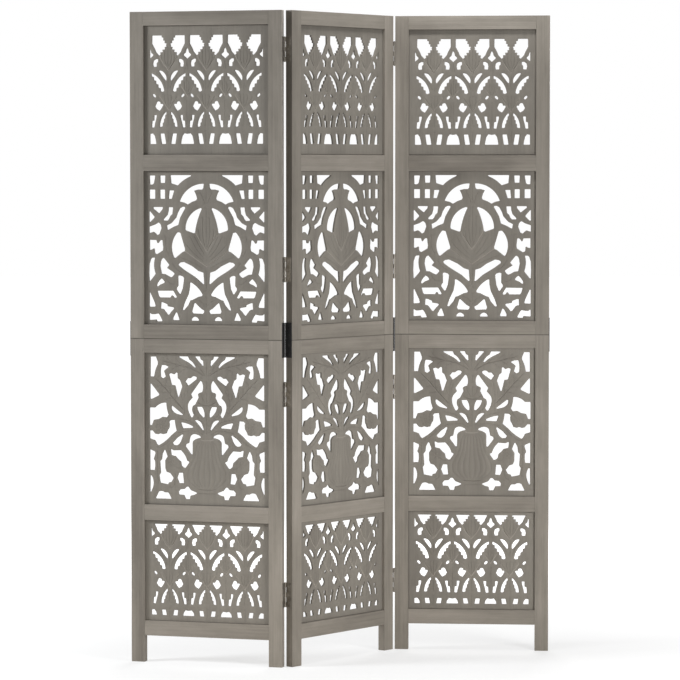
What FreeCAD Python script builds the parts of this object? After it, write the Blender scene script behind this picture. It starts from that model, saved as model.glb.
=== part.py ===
import FreeCAD, Part
import math
import os

# Carved folding screen of three hinged leaves. Millimetres, +Z up, floor at z = 0.
# A leaf is drawn flat first: x along its width, y from its front face to its back face.

# Leaf frame, from the floor up
LEAF_W = 400.0
FRAME_T = 20.0
STILE_W = 35.0
FOOT_H = 68.0
FOOT_RAIL_H = 38.0
BASE_OPENING_H = 257.0
LOWER_CROSS_RAIL_H = 40.0
VASE_OPENING_H = 386.0
LOWER_SEAM_RAIL_H = 36.0
UPPER_SEAM_RAIL_H = 36.0
MEDALLION_OPENING_H = 388.0
UPPER_CROSS_RAIL_H = 41.0
CREST_OPENING_H = 325.0
TOP_RAIL_H = 35.0

# Joinery
TENON_L = 18.0
TENON_T = 8.0
MORTISE_SPARE = 0.5
GROOVE_D = 8.0
PANEL_T = 6.0
PANEL_SPARE = 0.5
CUTTER_R = 1.4

# Hinges: their middles are set from the top, the seam and the floor
HINGE_H = 62.0
HINGE_PLATE_W = 16.0
HINGE_SHEET_T = 0.85
KNUCKLES = 5
KNUCKLE_GAP = 0.4
PIN_D = 2.0
PIN_FIT = 0.05
PIN_HEAD_D = 3.6
PIN_HEAD_H = 1.0
BARREL_LIFT = 0.2
HINGE_BELOW_TOP = 97.0
HINGE_ABOVE_SEAM = 177.0
HINGE_BELOW_SEAM = 137.0
HINGE_ABOVE_FLOOR = 182.0
HINGE_SCREW_PITCH = 21.0

# Iron plates that join the two halves of a leaf, on both of its edges
JOIN_PLATE_H = 88.0
JOIN_PLATE_T = 1.5
JOIN_PLATE_INSET = 1.0
JOIN_SCREW_NEAR_SEAM = 13.0
JOIN_SCREW_FAR_FROM_SEAM = 36.0

# Countersunk wood screws
SCREW_D = 3.0
SCREW_HEAD_D = 6.0
SCREW_L = 16.0
SCREW_TIP_L = 4.0
SCREW_TIP_D = 0.8
SCREW_FIT = 0.1
SLOT_W = 0.8
SLOT_L = 3.6
SLOT_D = 0.7

# How far each leaf is turned from the plane across the view, in degrees
LEFT_TURN = -15.5
MIDDLE_TURN = 49.8
RIGHT_TURN = -4.9

# Levels that follow from the leaf frame
FOOT_RAIL_Z = FOOT_H
BASE_Z = FOOT_RAIL_Z + FOOT_RAIL_H
LOWER_CROSS_RAIL_Z = BASE_Z + BASE_OPENING_H
VASE_Z = LOWER_CROSS_RAIL_Z + LOWER_CROSS_RAIL_H
LOWER_SEAM_RAIL_Z = VASE_Z + VASE_OPENING_H
SEAM_Z = LOWER_SEAM_RAIL_Z + LOWER_SEAM_RAIL_H
MEDALLION_Z = SEAM_Z + UPPER_SEAM_RAIL_H
UPPER_CROSS_RAIL_Z = MEDALLION_Z + MEDALLION_OPENING_H
CREST_Z = UPPER_CROSS_RAIL_Z + UPPER_CROSS_RAIL_H
TOP_RAIL_Z = CREST_Z + CREST_OPENING_H
LEAF_H = TOP_RAIL_Z + TOP_RAIL_H
OPENING_W = LEAF_W - 2 * STILE_W

# The hinge sheet runs tangent into its barrel, so the barrel sets the gap between leaves
BORE_R = PIN_D / 2 + PIN_FIT
BARREL_R = BORE_R + HINGE_SHEET_T
FOLD_GAP = 2 * BARREL_R
PIN_PROUD = BARREL_R + BARREL_LIFT
HINGE_LEVELS = (
    HINGE_ABOVE_FLOOR,
    SEAM_Z - HINGE_BELOW_SEAM,
    SEAM_Z + HINGE_ABOVE_SEAM,
    LEAF_H - HINGE_BELOW_TOP,
)
SCREW_SINK = (SCREW_HEAD_D - SCREW_D) / 2

# Rails: name, lower edge, height, whether a fret panel stands above and hangs below
RAILS = (
    ("foot_rail", FOOT_RAIL_Z, FOOT_RAIL_H, True, False),
    ("lower_cross_rail", LOWER_CROSS_RAIL_Z, LOWER_CROSS_RAIL_H, True, True),
    ("lower_seam_rail", LOWER_SEAM_RAIL_Z, LOWER_SEAM_RAIL_H, False, True),
    ("upper_seam_rail", SEAM_Z, UPPER_SEAM_RAIL_H, True, False),
    ("upper_cross_rail", UPPER_CROSS_RAIL_Z, UPPER_CROSS_RAIL_H, True, True),
    ("top_rail", TOP_RAIL_Z, TOP_RAIL_H, False, True),
)
# Openings: name, lower edge, height
OPENINGS = (
    ("base", BASE_Z, BASE_OPENING_H),
    ("vase", VASE_Z, VASE_OPENING_H),
    ("medallion", MEDALLION_Z, MEDALLION_OPENING_H),
    ("crest", CREST_Z, CREST_OPENING_H),
)
HALVES = (("lower", 0.0, SEAM_Z), ("upper", SEAM_Z, LEAF_H))

# Fretwork drawings. Each cut-out is a closed outline of points (u, z): u is measured from the
# drawing's upright axis, and every cut-out is repeated mirrored. A third value bows the stretch
# to the next point outwards by that much, inwards where it is negative, and BEND marks a point
# whose corner is as round as its two edges allow. STEP_CORNER is the share of a serration's width
# and height at which its corner stands.
BEND = "bend"
STEP_CORNER = (0.1, 0.85)


def teeth(start, end, count):
    """Stepped edge from one point to another, with the corner of every step standing out from the line."""
    step_u = (end[0] - start[0]) / count
    step_z = (end[1] - start[1]) / count
    points = []
    for i in range(count):
        u = start[0] + i * step_u
        z = start[1] + i * step_z
        points.append((u, z))
        points.append((u + STEP_CORNER[0] * step_u, z + STEP_CORNER[1] * step_z))
    return *points, end


DRAWN_W = 330.0
DRAWN_H = {"base": 257.0, "vase": 386.0, "medallion": 388.0, "crest": 325.0}

# Palmette border of the crest and base panels: three motifs side by side
MOTIF_PITCH = 100.0
MOTIF_AXES = (-MOTIF_PITCH, 0.0, MOTIF_PITCH)
BORDER_HALF_W = 149.0
BORDER_WINDOW = {"crest": (27.3, 300.5), "base": (14.5, 247.0)}
BORDER_STRETCH = {"crest": 1.0, "base": 0.985}
BORDER_LIFT = {"crest": 9.0, "base": -15.5}
BORDER_MOTIF = (
    # scalloped side of the palmette
    ((17.5, 291.3), (43.2, 291.3), (43.5, 271), (36, 257), (33, 249.5), (24.5, 240), (20.8, 243.5),
     (20.4, 248.4), (15.6, 250), (15.2, 255.2), (10.6, 256.8), (10.2, 262), (6.4, 263.6), (5.8, 270.4),
     (9.4, 272), (9.8, 277.4), (13.2, 279), (13.6, 284.8), (17, 286.4)),
    # comma beside the palmette's foot
    ((27.5, 232), (33.5, 232), (39.5, 228), (41, 220), (39.5, 212.5), (31, 213), (31, 222), (27.5, 225)),
    # crescent over the bud
    ((26, 203, 2.1), (9.7, 195.2, 2.1), (6.2, 176, 0.6)),
    # serrated leaf
    ((11.3, 152, 7.2), *teeth((45.5, 196.5), (15.5, 149.5), 5)),
    # seed
    ((33.8, 135.6, 0.8), (39.8, 137.9, 0.8), (41.5, 144.2, 0.8), (35.5, 141.9, 0.8)),
    # spade
    ((27, 126), (22, 124), (21, 119), (15.5, 119), (14, 116.5), (18.5, 108), (23.5, 101.5), (31.5, 106),
     (35.8, 113), (33, 119), (30.5, 124.5)),
    # serrated blade
    (*teeth((5.6, 101), (18.6, 61.5), 4), (23.6, 61.5, 4)),
    # stepped bar
    ((31.2, 91), (38.2, 91), (38.3, 77.5), (43.5, 76), (44.5, 60), (37.7, 60), (35.4, 71.5), (32, 84)),
    # foot of the stem
    ((11, 44.5), (22, 44.5), (20.5, 33), (18.2, 18.3), (6.5, 18.3), (8.5, 32)),
)
# Cut-outs on the line between two motifs, each half drawn from that line
BORDER_BETWEEN = (
    ((0, 261), (3.2, 254), (4.6, 248), (9.8, 243.5), (9.5, 240.5), (4.5, 236.5), (0, 232)),
    ((0, 43.5), (8.5, 45), (13.5, 38.5), (16, 28), (17.5, 18.3), (0, 18.3)),
)

# Lotus medallion
MEDALLION_CUTS = (
    # tabs and arch ends along the top
    ((151, 376.5), (136, 376.5), (137, 369), (139.5, 357), (143, 354), (150, 354)),
    ((123, 376.5), (109, 376.5), (110, 358), (122, 358)),
    ((95.5, 377.5), (39, 377.5), (43.5, 374, -2), (76, 351.5), (93.5, 357)),
    ((151, 341), (136, 341), (136, 318), (151, 318)),
    ((123, 341), (110, 341), (110, 318), (123, 318)),
    ((98.5, 339), (85.5, 339), (92, 318), (100.5, 318)),
    # wing under the arch
    ((71.5, 311, 13), (7, 356), (8.5, 345), (11.5, 341.5), (21.5, 341.5), (33, 338.5, 1), (25, 318.5),
     (27, 314.5), (39, 310), (50, 303.5), (59, 308.5)),
    # side leaves of the upper corner
    ((141.5, 297), (115.5, 297), (116.5, 292), (125.5, 281), (128, 282.5), (141, 293)),
    ((152, 286.5), (150, 286.5), (138, 272.5), (138.5, 270), (149, 259.5), (152, 260)),
    ((100.5, 296.5), (88.5, 296.5), (90.5, 279.5), (96, 274.5), (99, 267.5), (103, 263), (113.5, 263),
     (114.5, 266), (104, 277), (101, 288)),
    ((63, 298), (57, 297.5), (56.5, 294.5), (70, 270.5), (74.5, 253), (76.5, 251.5), (88, 247),
     (103.5, 238.5), (105.5, 250.5), (93.5, 256.5), (80.5, 271), (77, 282), (70, 294.5)),
    # either side of the lotus leaf
    ((15, 295), (12.5, 292.5, -2.3), (30.5, 233), (34, 231), (55.5, 238.5), (56.5, 242, 12)),
    # stems at the side
    ((152, 247.5), (137.5, 252.5), (128, 258, 1), (121, 251), (119.5, 244), (125, 229), (130.5, 226),
     (137, 232), (141, 234.5), (152, 231)),
    ((151, 214), (133, 213.5), (131, 206.5), (128.5, 205.5), (124, 212), (120.5, 214), (117, 213),
     (116, 202), (115, 196), (116, 187.5), (126.5, 181), (131.5, 178), (136.5, 179.5), (138, 184),
     (138.5, 191.5), (141, 192.5), (144, 190), (151, 188.5)),
    # sepal beside the lotus
    ((75, 233.5), (69, 232), (57, 191), (58, 186), (63.5, 184), (83.5, 168), (86.5, 170, 10.5), (78, 233)),
    # scrolls of the lower side
    ((145, 168.5), (137, 169, -3), (135.5, 128.5), (138, 124.5), (150, 110), (152, 110), (153, 130),
     (152, 154), (148, 166)),
    ((119, 166), (114, 169), (109, 163.5), (99, 151), (101, 148), (105.5, 143.5), (92, 135), (86, 130.5),
     (85.5, 127.5), (90, 122), (94, 119.5), (98, 121), (110.5, 127.5), (119.5, 128.5), (123.5, 148),
     (122, 160)),
    ((121, 116.5), (117.5, 115), (111.5, 108.5), (112.5, 105.5), (123.5, 101), (130.5, 95.5), (132.5, 98),
     (131.5, 103), (127, 110)),
    ((131, 85), (88.5, 85.5), (79.5, 70.5), (81, 67.5), (86.5, 68.5), (90, 73.5), (93, 74), (96.5, 68.5),
     (124.5, 68.5), (127.5, 72.5)),
    ((152, 80.5), (150, 81), (138, 55), (136, 47), (137.5, 45), (152, 44.5)),
    ((121, 56.5), (115, 55.5), (104.5, 51), (103.5, 46), (88, 43.5), (86.5, 40.5), (94, 33), (100, 25),
     (103.5, 25), (113, 37.5), (117, 40), (122, 40)),
    ((152, 28.5), (150, 28.5), (146, 25.5), (139, 25.5), (128.5, 27.5), (125, 24), (118, 10.5), (119, 8),
     (131.5, 7.5), (133.5, 12.5), (152, 11)),
    ((80.5, 31.5), (78.5, 30), (72.5, 13), (73.5, 11.5), (89.5, 11.5), (89.5, 17), (83.5, 28.5)),
    # calyx under the lotus
    ((75, 153), (70, 157), (60, 158.5), (38, 148), (21.5, 136), (8.5, 132), (6.5, 104), (9, 102.5),
     (28, 119), (58, 137.5), (73.5, 149)),
    ((76, 123.5), (70.5, 124.5), (63, 122), (60, 118), (61, 109), (63.5, 92), (69, 78.5), (72, 77.5),
     (80, 89), (79.5, 93), (75.5, 98.5), (75.5, 108)),
    # foot of the medallion
    ((44.5, 107), (40.5, 106.5, 3), (11, 76.5), (12.5, 73), (22, 71), (38, 63), (43, 62), (49, 49.5),
     (59, 38), (63.5, 36.5), (64, 39), (59, 55), (48, 78), (45, 95)),
    ((33, 55), (30, 55), (15, 41), (6.5, 36), (7, 32), (10, 28), (36.5, 29), (39, 34)),
    ((41, 10.5, 2), (31, 20.5, 2), (20, 10.5)),
)

# Flower vase
VASE_CUTS = (
    # top edge
    ((150, 376), (135.5, 376), (130.5, 363), (130.5, 357), (137, 345, BEND), (140.5, 325.5),
     (150.5, 325.5)),
    ((120.5, 355), (110, 354.5), (101, 350.5), (109.5, 344.5), (114, 340), (112, 335, BEND), (109.5, 326),
     (116, 321), (122.5, 324.5), (124, 343, BEND)),
    ((78, 377.5), (50, 377.5), (46.5, 369.5), (38.5, 365, BEND), (29.5, 351), (33, 349.5),
     (43, 359.5, BEND), (60, 368)),
    ((32.5, 378), (18.5, 378), (16, 370.5), (10, 367), (9, 354.5), (12, 354.5)),
    # vine leaf and heart
    ((101, 332.5), (95, 334.5), (87, 331.5), (81, 337), (78, 335), (77.5, 322), (71.5, 317.5),
     (65.5, 301.5), (74.5, 275), (77.5, 275), (84.5, 304), (93.5, 305)),
    ((26.5, 324.5), (34, 331, BEND), (43.5, 322.5), (51, 322.5), (57.5, 314), (53.5, 309.5), (50, 303.5),
     (43, 308.5), (28, 320)),
    # scroll beside the middle flower
    ((17.5, 316.5), (14, 315), (7.5, 302, BEND), (12.5, 288.5), (21, 285.5), (24, 282), (22, 274),
     (31, 256.5), (37, 253), (41.5, 244, BEND), (35, 230), (38.5, 223.5), (42.5, 223.5), (51, 240, BEND),
     (52, 259, BEND), (38.5, 273.5), (42.5, 282), (39, 287)),
    ((151, 308), (148, 307), (126.5, 280.5), (128.5, 277.5), (147, 268.5), (151, 268.5)),
    # over and under the side rosette
    ((152.5, 246.5), (138, 246.5), (127, 258.5, BEND), (108, 259.5), (107.5, 245, BEND), (102, 229),
     (107, 222), (118, 223.5), (124, 220), (129, 217.5), (141.5, 215.5), (146.5, 202), (152.5, 202)),
    ((94, 251.5), (91, 251.5), (64, 230.5), (65.5, 228), (85, 232.5, BEND), (95.5, 243, BEND)),
    # petals of the middle flower
    ((26.5, 250.5), (13, 250.5), (6, 240, BEND), (6.5, 225), (10.5, 224), (24, 237, BEND)),
    ((69.5, 210.5), (52, 208.5, BEND), (37, 200.5), (37.5, 197), (64, 195.5)),
    ((33.5, 216.5), (17, 217.5, BEND), (8.5, 193), (11, 191), (22, 204)),
    ((152, 188), (144.5, 188), (138, 180), (130, 178.5), (124, 181), (117, 179), (108, 181), (104.5, 190),
     (100.5, 196), (99.5, 206), (101, 211), (97, 215), (85.5, 216), (84, 201, BEND), (80.5, 189),
     (95, 177), (108, 162.5, BEND), (129, 150.5), (133, 153), (138.5, 163.5), (152, 167.5)),
    # handles and neck of the vase
    ((66, 180), (63.5, 178), (71.5, 156, BEND), (80, 151.5), (88, 152.5), (91.5, 157.5), (80, 170)),
    ((15.5, 172.5), (19, 177), (31, 182, BEND), (44, 178, BEND), (48, 158), (55.5, 155), (57, 149.5),
     (42, 129.5), (38.5, 129.5), (38, 147), (38.5, 163, BEND), (28, 170, BEND)),
    # lower side
    ((152, 140.5), (148, 138.5), (138.5, 134.5), (137.5, 130), (142, 116), (138.5, 110.5), (138, 98),
     (139.5, 87.5), (152, 87.5)),
    ((113.5, 140), (110.5, 138), (105, 123), (111.5, 113), (111, 92), (107.5, 83.5), (98, 80.5),
     (89, 68.5), (94.5, 58.5), (102, 56.5), (103.5, 51.5), (124.5, 55.5), (127.5, 74), (123.5, 81),
     (125.5, 110), (120.5, 115.5), (119, 129)),
    ((97, 142.5), (88, 138.5), (69, 139.5), (56, 125, BEND), (53, 113.5), (46.5, 110), (57, 95),
     (61.5, 95), (67.5, 100), (69.5, 110), (77, 116.5), (83.5, 124), (95, 126.5)),
    ((151.5, 74), (147.5, 73), (138.5, 57, BEND), (149.5, 31.5), (152, 31.5)),
    ((75, 82), (64, 82), (61.5, 56), (74, 55.5), (79.5, 69)),
    # foot of the vase
    ((25.5, 31.5), (43, 38.5), (49.5, 47), (54.5, 47), (60, 41), (71, 40), (76, 34), (75, 26.5),
     (61.5, 26), (56.5, 15.5), (46, 15.5), (44, 24.5), (34, 27)),
    ((138, 15), (129.5, 32), (120.5, 37, BEND), (112.5, 31), (104, 31), (101, 28), (94.5, 15)),
)

# Share of a straight edge that the roundings at its two ends may take up, and the least turn rounded
EDGE_USE = 0.96
LEAST_TURN = math.radians(1.0)


def box(x0, y0, z0, x1, y1, z1):
    return Part.makeBox(x1 - x0, y1 - y0, z1 - z0, FreeCAD.Vector(x0, y0, z0))


def cut_all(solid, tools):
    return solid.cut(Part.makeCompound(tools)) if tools else solid


def expand(outline):
    """Corners and bends (x, z, is_bend) of a drawn outline, with bows turned into bends."""
    ring = list(zip(outline, outline[1:] + outline[:1]))
    area = sum(a[0] * b[1] - b[0] * a[1] for a, b in ring)
    side = 1 if area > 0 else -1
    corners = []
    for here, there in ring:
        mark = here[2] if len(here) > 2 else 0
        corners.append((here[0], here[1], mark == BEND))
        if mark == BEND or not mark:
            continue
        dx = there[0] - here[0]
        dz = there[1] - here[1]
        reach = 2 * mark * side / math.hypot(dx, dz)
        corners.append(((here[0] + there[0]) / 2 + dz * reach, (here[1] + there[1]) / 2 - dx * reach, True))
    return corners


def moved(corners, dx, dz, flip=1, stretch=1):
    return [(flip * x + dx, stretch * z + dz, bend) for x, z, bend in corners]


def keep_side(corners, axis, limit, sign):
    """Part of an outline with sign * coordinate <= sign * limit, closed along the limit."""
    kept = []
    for here, there in zip(corners, corners[1:] + corners[:1]):
        a = sign * (limit - here[axis])
        b = sign * (limit - there[axis])
        if a >= 0:
            kept.append(here)
        if a * b < 0:
            share = a / (a - b)
            x = here[0] + share * (there[0] - here[0])
            z = here[1] + share * (there[1] - here[1])
            kept.append((x, z, False))
    return kept


def clipped(corners, half_w, low, high):
    for axis, limit, sign in ((0, half_w, 1), (0, -half_w, -1), (1, high, 1), (1, low, -1)):
        corners = keep_side(corners, axis, limit, sign)
    return corners


def border_cuts(name):
    """Corners of every cut-out of the palmette border on the crest or base panel."""
    low, high = BORDER_WINDOW[name]
    lift = BORDER_LIFT[name]
    stretch = BORDER_STRETCH[name]
    cuts = []
    for axis_x in MOTIF_AXES:
        for outline in BORDER_MOTIF:
            for flip in (1, -1):
                cuts.append(moved(expand(outline), axis_x, lift, flip, stretch))
    lines_between = [axis_x + MOTIF_PITCH / 2 for axis_x in MOTIF_AXES]
    lines_between.insert(0, MOTIF_AXES[0] - MOTIF_PITCH / 2)
    for outline in BORDER_BETWEEN:
        whole = outline + tuple((-u, z) for u, z in reversed(outline) if u > 0)
        for line_x in lines_between:
            cuts.append(moved(expand(whole), line_x, lift, 1, stretch))
    return [clipped(cut, BORDER_HALF_W, low, high) for cut in cuts]


def mirrored_cuts(outlines):
    return [moved(expand(outline), 0, 0, flip) for outline in outlines for flip in (1, -1)]


def panel_cuts(name):
    if name == "medallion":
        return mirrored_cuts(MEDALLION_CUTS)
    if name == "vase":
        return mirrored_cuts(VASE_CUTS)
    return border_cuts(name)


def unit(a, b):
    length = math.hypot(b[0] - a[0], b[1] - a[1])
    return (b[0] - a[0]) / length, (b[1] - a[1]) / length, length


def edge_share(own, other, length):
    """Length of a straight edge that the rounding at one of its ends takes; None asks for the most."""
    room = EDGE_USE * length
    if own is not None:
        return min(own, room / 2)
    return room / 2 if other is None else room - min(other, room / 2)


def rounded_wire(corners):
    """Closed wire of straight runs and tangent arcs: corners as the cutter leaves them, bends wider."""
    count = len(corners)
    runs = [unit(corners[i], corners[(i + 1) % count]) for i in range(count)]
    turns = []
    for i in range(count):
        before = runs[i - 1]
        after = runs[i]
        dot = before[0] * after[0] + before[1] * after[1]
        turns.append(math.acos(max(-1.0, min(1.0, dot))))
    wanted = [None if corner[2] else CUTTER_R * math.tan(turn / 2) for corner, turn in zip(corners, turns)]
    points = []
    for i, (x, z, _) in enumerate(corners):
        before = runs[i - 1]
        after = runs[i]
        if turns[i] < LEAST_TURN:
            points.append([FreeCAD.Vector(x, 0, z)])
            continue
        reach = min(
            edge_share(wanted[i], wanted[i - 1], before[2]),
            edge_share(wanted[i], wanted[(i + 1) % count], after[2]),
        )
        radius = reach / math.tan(turns[i] / 2)
        sag = radius * (1 / math.cos(turns[i] / 2) - 1)
        inward = (after[0] - before[0], after[1] - before[1])
        scale = sag / math.hypot(*inward)
        points.append([
            FreeCAD.Vector(x - before[0] * reach, 0, z - before[1] * reach),
            FreeCAD.Vector(x + inward[0] * scale, 0, z + inward[1] * scale),
            FreeCAD.Vector(x + after[0] * reach, 0, z + after[1] * reach),
        ])
    edges = []
    for i, group in enumerate(points):
        if len(group) > 1:
            edges.append(Part.Arc(*group).toShape())
        edges.append(Part.LineSegment(group[-1], points[(i + 1) % count][0]).toShape())
    return Part.Wire(edges)


def fret_panel(name, opening_z, opening_h):
    """Pierced board held in the grooves round an opening."""
    tongue = GROOVE_D - PANEL_SPARE
    scale_x = OPENING_W / DRAWN_W
    scale_z = opening_h / DRAWN_H[name]
    axis_x = LEAF_W / 2
    left = STILE_W - tongue
    right = LEAF_W - left
    low = opening_z - tongue
    high = opening_z + opening_h + tongue
    rim = [FreeCAD.Vector(x, 0, z) for x, z in ((left, low), (right, low), (right, high), (left, high))]
    wires = [Part.makePolygon(rim + rim[:1])]
    for corners in panel_cuts(name):
        placed = [(axis_x + x * scale_x, opening_z + z * scale_z, bend) for x, z, bend in corners]
        wires.append(rounded_wire(placed))
    face = Part.makeFace(wires, "Part::FaceMakerBullseye")
    face.translate(FreeCAD.Vector(0, (FRAME_T - PANEL_T) / 2, 0))
    return face.extrude(FreeCAD.Vector(0, PANEL_T, 0)).Solids[0]


def rail(low, height, panel_above, panel_below):
    """Rail between the stiles, with a stub tenon at each end and a groove for each panel it holds."""
    high = low + height
    mid_y = FRAME_T / 2
    body = box(STILE_W, 0, low, LEAF_W - STILE_W, FRAME_T, high)
    tenon = box(
        STILE_W - TENON_L, mid_y - TENON_T / 2, low + GROOVE_D,
        LEAF_W - STILE_W + TENON_L, mid_y + TENON_T / 2, high - GROOVE_D,
    )
    grooves = []
    groove_y = (mid_y - PANEL_T / 2, mid_y + PANEL_T / 2)
    if panel_above:
        grooves.append(box(STILE_W, groove_y[0], high - GROOVE_D, LEAF_W - STILE_W, groove_y[1], high))
    if panel_below:
        grooves.append(box(STILE_W, groove_y[0], low, LEAF_W - STILE_W, groove_y[1], low + GROOVE_D))
    return cut_all(body.fuse(tenon), grooves).removeSplitter()


def screw_profile(fit, slack):
    """Countersunk screw about the x axis, head at x = 0 and point towards -x, grown by a fit."""
    head_r = SCREW_HEAD_D / 2 + fit
    shank_r = SCREW_D / 2 + fit
    tip_r = SCREW_TIP_D / 2 + fit
    length = SCREW_L + slack
    profile = (
        (0, 0), (0, head_r), (-SCREW_SINK, shank_r), (SCREW_TIP_L - length, shank_r), (-length, tip_r),
        (-length, 0),
    )
    points = [FreeCAD.Vector(x, y, 0) for x, y in profile]
    face = Part.Face(Part.makePolygon(points + points[:1]))
    return face.revolve(FreeCAD.Vector(0, 0, 0), FreeCAD.Vector(1, 0, 0), 360)


def screw():
    slots = [
        box(-SLOT_D, -SLOT_L / 2, -SLOT_W / 2, SLOT_W, SLOT_L / 2, SLOT_W / 2),
        box(-SLOT_D, -SLOT_W / 2, -SLOT_L / 2, SLOT_W, SLOT_W / 2, SLOT_L / 2),
    ]
    return cut_all(screw_profile(0, 0), slots)


def to_edge(shape, edge, face):
    """Shape drawn at a right edge and a back face (x = 0 and y = 0 there) set on any edge and face."""
    origin = FreeCAD.Vector(0, 0, 0)
    if edge == "left":
        shape = shape.mirror(origin, FreeCAD.Vector(1, 0, 0))
    if face == "front":
        shape = shape.mirror(origin, FreeCAD.Vector(0, 1, 0))
    shape.translate(FreeCAD.Vector(LEAF_W if edge == "right" else 0, FRAME_T if face == "back" else 0, 0))
    return shape


def hinge_screw_spots():
    """Head positions (x, y, z) of one edge's hinge screws, drawn at a right edge and a back face."""
    return [
        (HINGE_SHEET_T, -HINGE_PLATE_W / 2, level + step * HINGE_SCREW_PITCH)
        for level in HINGE_LEVELS
        for step in (-1, 0, 1)
    ]


def join_screw_spots():
    return [
        (JOIN_PLATE_T, -FRAME_T / 2, SEAM_Z + side * offset)
        for side in (-1, 1)
        for offset in (JOIN_SCREW_NEAR_SEAM, JOIN_SCREW_FAR_FROM_SEAM)
    ]


def at_spots(shape, spots):
    copies = []
    for spot in spots:
        copy = shape.copy()
        copy.translate(FreeCAD.Vector(*spot))
        copies.append(copy)
    return copies


def knuckle_spans(outer):
    """Heights, from the hinge's middle, of the knuckles that belong to one of its two plates."""
    pitch = (HINGE_H + KNUCKLE_GAP) / KNUCKLES
    first = 0 if outer else 1
    return [
        (-HINGE_H / 2 + i * pitch, -HINGE_H / 2 + (i + 1) * pitch - KNUCKLE_GAP)
        for i in range(first, KNUCKLES, 2)
    ]


def hinge_plate(level, outer):
    """One leaf of a butt hinge, drawn at a right edge with its pin behind the back face."""
    low = level - HINGE_H / 2
    up = FreeCAD.Vector(0, 0, 1)
    plate = box(0, -HINGE_PLATE_W, low, HINGE_SHEET_T, 0, low + HINGE_H)
    rolls = []
    bores = []
    for start, end in knuckle_spans(outer):
        foot = FreeCAD.Vector(BARREL_R, PIN_PROUD, level + start)
        rolls.append(box(0, -HINGE_SHEET_T, level + start, HINGE_SHEET_T, PIN_PROUD, level + end))
        rolls.append(Part.makeCylinder(BARREL_R, end - start, foot, up))
        bores.append(Part.makeCylinder(BORE_R, end - start, foot, up))
    spots = [spot for spot in hinge_screw_spots() if abs(spot[2] - level) < HINGE_H / 2]
    sinks = at_spots(screw_profile(SCREW_FIT, 0), spots)
    return cut_all(plate.fuse(rolls), bores + sinks).removeSplitter()


def hinge_pin(level):
    low = level - HINGE_H / 2
    up = FreeCAD.Vector(0, 0, 1)
    foot = FreeCAD.Vector(BARREL_R, PIN_PROUD, low - PIN_HEAD_H)
    rod = Part.makeCylinder(PIN_D / 2, HINGE_H + 2 * PIN_HEAD_H, foot, up)
    heads = [
        Part.makeCylinder(PIN_HEAD_D / 2, PIN_HEAD_H, FreeCAD.Vector(BARREL_R, PIN_PROUD, z), up)
        for z in (low - PIN_HEAD_H, low + HINGE_H)
    ]
    return rod.fuse(heads).removeSplitter()


def join_plate():
    low = SEAM_Z - JOIN_PLATE_H / 2
    plate = box(0, JOIN_PLATE_INSET - FRAME_T, low, JOIN_PLATE_T, -JOIN_PLATE_INSET, low + JOIN_PLATE_H)
    return cut_all(plate, at_spots(screw_profile(SCREW_FIT, 0), join_screw_spots()))


def stile(edge, low, high, hinge_face):
    """Upright of one half of a leaf, grooved for its panels, mortised for its rails and drilled."""
    mid_y = FRAME_T / 2
    body = box(LEAF_W - STILE_W, 0, low, LEAF_W, FRAME_T, high)
    inner = LEAF_W - STILE_W
    tools = []
    for _, opening_z, opening_h in OPENINGS:
        if low < opening_z < high:
            tools.append(box(
                inner, mid_y - PANEL_T / 2, opening_z - GROOVE_D,
                inner + GROOVE_D, mid_y + PANEL_T / 2, opening_z + opening_h + GROOVE_D,
            ))
    for _, rail_z, rail_h, _, _ in RAILS:
        if low <= rail_z < high:
            tools.append(box(
                inner, mid_y - TENON_T / 2, rail_z + GROOVE_D,
                inner + TENON_L + MORTISE_SPARE, mid_y + TENON_T / 2, rail_z + rail_h - GROOVE_D,
            ))
    if edge == "left":
        middle = FreeCAD.Vector(LEAF_W / 2, 0, 0)
        body = body.mirror(middle, FreeCAD.Vector(1, 0, 0))
        tools = [tool.mirror(middle, FreeCAD.Vector(1, 0, 0)) for tool in tools]
    drill = screw_profile(SCREW_FIT, MORTISE_SPARE)
    holes = [to_edge(hole, edge, "back") for hole in at_spots(drill, join_screw_spots())]
    if hinge_face:
        holes += [to_edge(hole, edge, hinge_face) for hole in at_spots(drill, hinge_screw_spots())]
    tools += [hole for hole in holes if low < hole.BoundBox.Center.z < high]
    return cut_all(body, tools)


def shared_pieces():
    """Rails and fret panels, drawn flat, which are alike in all three leaves."""
    pieces = {}
    for name, low, height, above, below in RAILS:
        pieces[name] = rail(low, height, above, below)
    for name, low, height in OPENINGS:
        pieces[name + "_fretwork"] = fret_panel(name, low, height)
    return pieces


def leaf_pieces(shared, hinges):
    """Every piece of a leaf, drawn flat. hinges maps an edge to (face, has the outer knuckles, node)."""
    edges = ("left", "right")
    pieces = {name: [solid.copy()] for name, solid in shared.items()}
    for half, low, high in HALVES:
        for edge in edges:
            hinge_face = hinges[edge][0] if edge in hinges else None
            pieces[half + "_" + edge + "_stile"] = [stile(edge, low, high, hinge_face)]
    pieces["joining_plates"] = [to_edge(join_plate(), edge, "back") for edge in edges]
    pieces["joining_screws"] = [
        to_edge(copy, edge, "back") for edge in edges for copy in at_spots(screw(), join_screw_spots())
    ]
    pieces["hinge_screws"] = []
    for edge, (face, outer, node) in hinges.items():
        pieces[node] = [to_edge(hinge_plate(level, outer), edge, face) for level in HINGE_LEVELS]
        pieces["hinge_screws"] += [
            to_edge(copy, edge, face) for copy in at_spots(screw(), hinge_screw_spots())
        ]
    return pieces


def turned(x, y, degrees):
    angle = math.radians(degrees)
    return FreeCAD.Vector(
        x * math.cos(angle) - y * math.sin(angle), x * math.sin(angle) + y * math.cos(angle), 0
    )


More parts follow.
